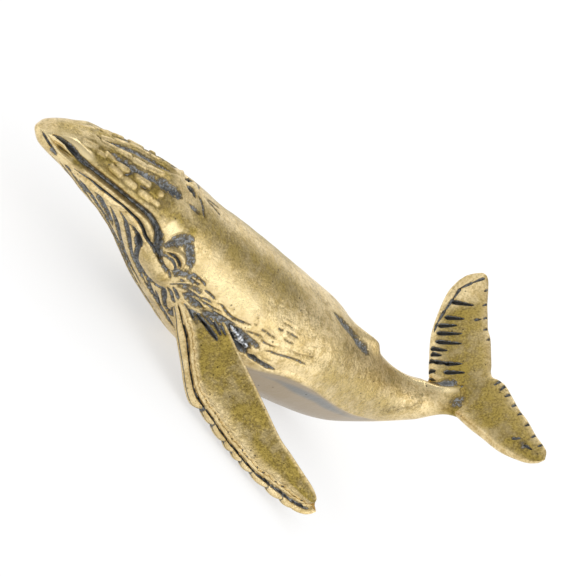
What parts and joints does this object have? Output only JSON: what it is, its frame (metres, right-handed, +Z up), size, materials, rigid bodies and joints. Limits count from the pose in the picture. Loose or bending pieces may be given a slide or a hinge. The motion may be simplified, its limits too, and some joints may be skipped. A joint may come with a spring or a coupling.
{
  "type": "whale figurine",
  "caption": "Cast brass desk ornament in the form of a swimming humpback whale, with soldered flippers and raised tail flukes, resting on its belly.",
  "frame": {"origin": "on the surface that the belly rests on, below the middle of the whole ornament's box", "axes": "+X from the snout towards the tail, +Y towards the whale's right side, +Z up from the belly to the back"},
  "size_m": [0.093, 0.0518, 0.03],
  "materials": {
    "antique_brass": "solid cast brass, darkened in the hollows and rubbed bright on the high places",
    "silver_solder": "silver-coloured hard solder, dull and unpolished"
  },
  "bodies": {
    "whale": {"body_casting": "antique_brass", "left_flipper": "antique_brass", "right_flipper": "antique_brass", "left_flipper_solder": "silver_solder", "right_flipper_solder": "silver_solder", "tail_flukes": "antique_brass", "tail_flukes_solder": "silver_solder"}
  },
  "joints": []
}
